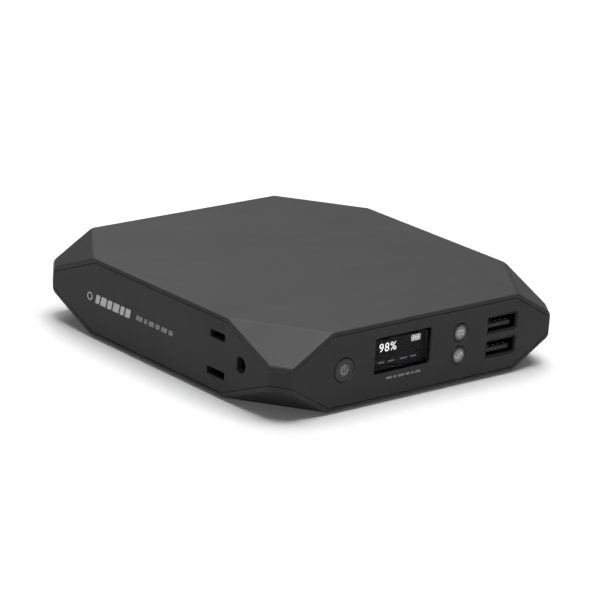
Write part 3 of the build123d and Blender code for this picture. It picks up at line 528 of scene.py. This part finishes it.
def lit_segments(name, colour, strength):
    """Lit segments, a little uneven across their faces."""
    material, nodes, links, shader = new_finish(name)
    uneven = clouds(nodes, links, placed(nodes, links), scale=5200, detail=1)
    glow = blend(nodes, links, uneven, [c * 0.9 for c in colour], colour)
    links.new(glow, shader.inputs["Emission Color"])
    shader.inputs["Emission Strength"].default_value = strength
    shader.inputs["Base Color"].default_value = (0.02, 0.02, 0.02, 1)
    return material


dress(smoked_acrylic(), "display_window")
dress(
    moulded("black_panel", (0.002, 0.002, 0.0022), (0.003, 0.003, 0.0034), 0.5),
    "display_panel",
)
dress(
    drawn_metal("blackened_bracket", (0.03, 0.03, 0.032), (0.055, 0.055, 0.055), 0.45, (1, 1, 6)),
    "display_bracket",
)
dress(moulded("amber_film", (0.42, 0.17, 0.02), (0.5, 0.22, 0.03), 0.3), "display_ribbon")

panel_low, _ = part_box("display_panel")


def on_panel(x, height):
    """A place for a lit mark on the panel's face, in mm from the middle of the frame."""
    return Vector((x * mm, panel_low[1] - ink_height / 2, mid_height + height * mm))


def lit_figures(text, place, height):
    """Figures on the panel, from place at their lower left corner, as a thin solid mesh."""
    figure_share = 0.7  # a figure's height as a share of the font's size
    bpy.ops.object.select_all(action="DESELECT")
    bpy.ops.object.text_add()
    figures = bpy.context.object
    figures.data.body = text
    figures.data.size = height / figure_share
    figures.data.extrude = ink_height / 2
    figures.data.space_character = 1.15
    bpy.ops.object.convert(target="MESH")
    figures = bpy.context.object
    figures.rotation_euler = (math.radians(90), 0, 0)
    figures.location = place
    bpy.ops.object.transform_apply(location=True, rotation=True, scale=True)
    return figures


figures = lit_figures("98%", on_panel(-18.4, 2.4), 2.9 * mm)
lit_white = lit_segments("lit_white", (1, 1, 1), 2.4)
joined("display_figures", [figures], lit_white, "case")

gauge_x, gauge_level = -2.6, 5.0
gauge_width, gauge_height, gauge_line = 3.8, 1.9, 0.26
rail_size = (gauge_width * mm, ink_height, gauge_line * mm)
upright_size = (gauge_line * mm, ink_height, (gauge_height - 2 * gauge_line) * mm)
charge_size = (0.72 * mm, ink_height, 1.0 * mm)
charge_step = 1.0
gauge_marks = []
for side in (-1, 1):
    rail_at = on_panel(gauge_x, gauge_level + side * (gauge_height - gauge_line) / 2)
    gauge_marks.append(ink_bar(rail_at, rail_size, 0.1 * mm, front))
    upright_at = on_panel(gauge_x + side * (gauge_width - gauge_line) / 2, gauge_level)
    gauge_marks.append(ink_bar(upright_at, upright_size, 0.05 * mm, front))
for step in (-1, 0, 1):
    charge_at = on_panel(gauge_x + step * charge_step, gauge_level)
    gauge_marks.append(ink_bar(charge_at, charge_size, 0.1 * mm, front))
lit_gauge = lit_segments("lit_gauge", (1, 1, 1), 1.5)
joined("display_gauge", gauge_marks, lit_gauge, "case")

status_level = -1.2
status_marks = []
for x, length in ((-17.0, 2.6), (-12.8, 2.6), (-7.4, 3.2), (-3.2, 2.4)):
    status_size = (length * mm, ink_height, 0.5 * mm)
    status_marks.append(ink_bar(on_panel(x, status_level), status_size, 0.15 * mm, front))
lit_dim = lit_segments("lit_dim", (0.8, 0.85, 0.9), 0.35)
joined("display_status", status_marks, lit_dim, "case")

# ------------------------------------------------------------------ switches behind the keys
# Snap switches with a moulded black body and a pale acetal plunger. They are soldered to the
# control board.
dress(
    moulded("switch_body_nylon", (0.012, 0.012, 0.013), (0.03, 0.03, 0.03), 0.4),
    "power_switch", "usb_switch", "output_switch",
)
dress(
    moulded("acetal", (0.5, 0.48, 0.42), (0.58, 0.55, 0.48), 0.35),
    "power_switch_plunger", "usb_switch_plunger", "output_switch_plunger",
)

# ------------------------------------------------------------------ connectors
# The twin USB shell and the USB-C shell are drawn from steel strip and plated in black nickel.
# Their tongues and the barrel jack are glass-filled nylon, and their contacts are gold over nickel.
dress(
    drawn_metal("black_nickel", (0.028, 0.028, 0.03), (0.05, 0.05, 0.05), 0.42, (1, 8, 1)),
    "usb_a_shell", "usb_c_shell",
)
dress(
    moulded("connector_nylon", (0.009, 0.009, 0.0095), (0.016, 0.016, 0.016), 0.48),
    "usb_a_insulator", "usb_c_tongue", "dc_jack_body", "dock_contact_block", "board_header",
)
dress(
    drawn_metal("flash_gold", (0.62, 0.42, 0.16), (0.42, 0.28, 0.12), 0.28, (1, 6, 1)),
    "usb_a_contacts", "dock_contacts",
)
dress(drawn_metal("nickel_pin", (0.42, 0.41, 0.39), (0.3, 0.29, 0.27), 0.25), "dc_jack_pin")
dress(
    moulded("battery_plug_nylon", (0.6, 0.57, 0.48), (0.5, 0.46, 0.36), 0.42),
    "battery_connector",
)

# ------------------------------------------------------------------ mains outlet
# A black flame-retardant housing behind the frame's slots. Inside it are contacts folded from
# brass strip, and stranded leads in coloured sleeving run from their tails to a terminal block.
dress(
    moulded("outlet_nylon", (0.007, 0.007, 0.0075), (0.013, 0.013, 0.013), 0.5),
    "outlet_housing",
)
dress(
    drawn_metal("folded_brass", (0.62, 0.44, 0.16), (0.36, 0.24, 0.1), 0.3, (6, 1, 1)),
    "outlet_line_contact", "outlet_neutral_contact", "outlet_ground_contact",
)
dress(
    moulded("terminal_green", (0.02, 0.16, 0.07), (0.03, 0.2, 0.09), 0.38),
    "outlet_terminal_block",
)
dress(
    moulded("lead_sleeving", (0.35, 0.012, 0.01), (0.42, 0.02, 0.015), 0.42),
    "outlet_leads", "battery_leads",
)

# ------------------------------------------------------------------ circuit boards
# Glass-epoxy boards under green solder mask, with the copper tracks just proud beneath it.
# Four screws hold the main board to its standoffs, and the small boards stand in their slots.


def solder_mask():
    """Green lacquer, paler and raised over its tracks, and dulled by flux in places."""
    bare, over_copper = (0.006, 0.06, 0.022), (0.012, 0.12, 0.04)
    material, nodes, links, shader = new_finish("green_solder_mask")
    tracks = nodes.new("ShaderNodeTexVoronoi")
    tracks.distance = "CHEBYCHEV"
    tracks.inputs["Scale"].default_value = 330
    links.new(placed(nodes, links, scale=(1, 1, 0.6)), tracks.inputs["Vector"])
    copper = spread(nodes, links, tracks.outputs["Distance"], 1, 0, 0.3, 0.34)
    flux = clouds(nodes, links, placed(nodes, links), scale=240, detail=4)
    colour = blend(nodes, links, copper, bare, over_copper)
    paint(links, shader, colour, spread(nodes, links, flux, 0.24, 0.4))
    add_relief(nodes, links, shader, copper, depth=0.03 * mm, strength=0.6)
    return material


dress(solder_mask(), "control_board", "main_board", "port_board", "protection_board")

# ------------------------------------------------------------------ inverter parts
# On the main board: a ferrite transformer wound and taped in yellow, a ring choke in enamelled
# copper, potted inductors, two transistors clipped to a finned sink, and two capacitors.
dress(
    moulded("sintered_ferrite", (0.03, 0.03, 0.031), (0.05, 0.049, 0.048), 0.55, 2600, 0.03 * mm),
    "transformer_core", "choke_core", "power_inductors",
)
dress(
    moulded("winding_tape", (0.62, 0.42, 0.04), (0.7, 0.5, 0.07), 0.3),
    "transformer_winding",
)
dress(
    drawn_metal("enamelled_copper", (0.5, 0.17, 0.05), (0.36, 0.12, 0.04), 0.24),
    "choke_winding",
)
dress(
    drawn_metal("extruded_aluminium", (0.56, 0.56, 0.57), (0.44, 0.44, 0.45), 0.34, (1, 1, 0.1)),
    "heat_sink",
)
dress(
    moulded("chip_epoxy", (0.011, 0.011, 0.0115), (0.02, 0.02, 0.02), 0.5),
    "power_transistors", "controller_chips",
)


def capacitor_sleeve():
    """Shrink sleeve with a pale stripe down one side and the bare can showing on top."""
    blue, stripe, bare_can = (0.012, 0.02, 0.09), (0.55, 0.56, 0.58), (0.6, 0.6, 0.61)
    low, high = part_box("capacitors")
    rim_low, rim_high = high[2] - 0.5 * mm, high[2] - 0.45 * mm
    stripe_near, stripe_far = low[1] + 0.9 * mm, low[1] + 1 * mm
    material, nodes, links, shader = new_finish("capacitor_sleeve")
    position = nodes.new("ShaderNodeSeparateXYZ")
    links.new(placed(nodes, links), position.inputs["Vector"])
    on_top = spread(nodes, links, position.outputs["Z"], 0, 1, rim_low, rim_high)
    on_stripe = spread(nodes, links, position.outputs["Y"], 1, 0, stripe_near, stripe_far)
    sleeve = blend(nodes, links, on_stripe, blue, stripe)
    shrink = clouds(nodes, links, placed(nodes, links, scale=(1, 1, 0.3)), scale=700, detail=3)
    colour = blend(nodes, links, on_top, sleeve, bare_can)
    paint(links, shader, colour, spread(nodes, links, shrink, 0.22, 0.36))
    links.new(on_top, shader.inputs["Metallic"])
    add_relief(nodes, links, shader, shrink, depth=0.02 * mm, strength=0.4)
    return material


dress(capacitor_sleeve(), "capacitors")

# ------------------------------------------------------------------ battery
# Six cylindrical cells in shrink sleeves stand side by side between two moulded end plates.
# Strips of nickel are spot-welded across each pair of terminals.
dress(
    moulded("cell_sleeve", (0.03, 0.14, 0.3), (0.04, 0.17, 0.34), 0.3, 900, 0.02 * mm),
    "battery_cells",
)
dress(
    moulded("cell_holder_plastic", (0.014, 0.014, 0.015), (0.03, 0.03, 0.03), 0.5),
    "cell_holder_front", "cell_holder_rear",
)
dress(
    drawn_metal("nickel_strip", (0.55, 0.53, 0.49), (0.42, 0.4, 0.36), 0.28, (6, 1, 1)),
    "cell_links",
)

# ------------------------------------------------------------------ floor and light
# A white sweep, faintly lit from below, under a broad softbox. A smaller one behind lifts the
# top cover, and a third one only adds sheen to the corner facet nearest the camera.
floor_size = 12
bpy.ops.object.select_all(action="DESELECT")
bpy.ops.mesh.primitive_plane_add(size=floor_size, location=(0, 0, 0))
floor = bpy.context.object
floor.name = "studio_floor"
white, _, _, shader = new_finish("studio_white")
shader.inputs["Base Color"].default_value = (0.72, 0.72, 0.72, 1)
shader.inputs["Roughness"].default_value = 0.7
shader.inputs["Specular IOR Level"].default_value = 0.2
shader.inputs["Emission Color"].default_value = (1, 1, 1, 1)
shader.inputs["Emission Strength"].default_value = 0.06
floor.data.materials.append(white)


def softbox(name, place, aim, size, watts):
    """A rectangular soft light at place, turned towards aim."""
    bpy.ops.object.light_add(type="AREA", location=place)
    lamp = bpy.context.object
    lamp.name = name
    lamp.data.shape = "RECTANGLE"
    lamp.data.size, lamp.data.size_y = size
    lamp.data.energy = watts
    lamp.rotation_mode = "QUATERNION"
    lamp.rotation_quaternion = (Vector(aim) - Vector(place)).to_track_quat("-Z", "Y")
    return lamp


on_floor, on_case = (0, 0, 0), (0, 0, 0.02)
softbox("overhead_softbox", (0.2, 0.0, 1.9), on_floor, size=(1.5, 1.5), watts=53)
softbox("rear_softbox", (0.6, 1.15, 1.1), on_case, size=(1.0, 0.5), watts=8)
sheen = softbox("sheen_softbox", (-0.8, -0.62, 1.5), on_case, size=(0.7, 0.7), watts=50)
sheen.visible_diffuse = False

studio = bpy.data.worlds.new("studio")
studio.use_nodes = True
background = studio.node_tree.nodes["Background"]
background.inputs["Color"].default_value = (1, 1, 1, 1)
background.inputs["Strength"].default_value = 0.12
bpy.context.scene.world = studio
bpy.context.scene.view_settings.view_transform = "Standard"
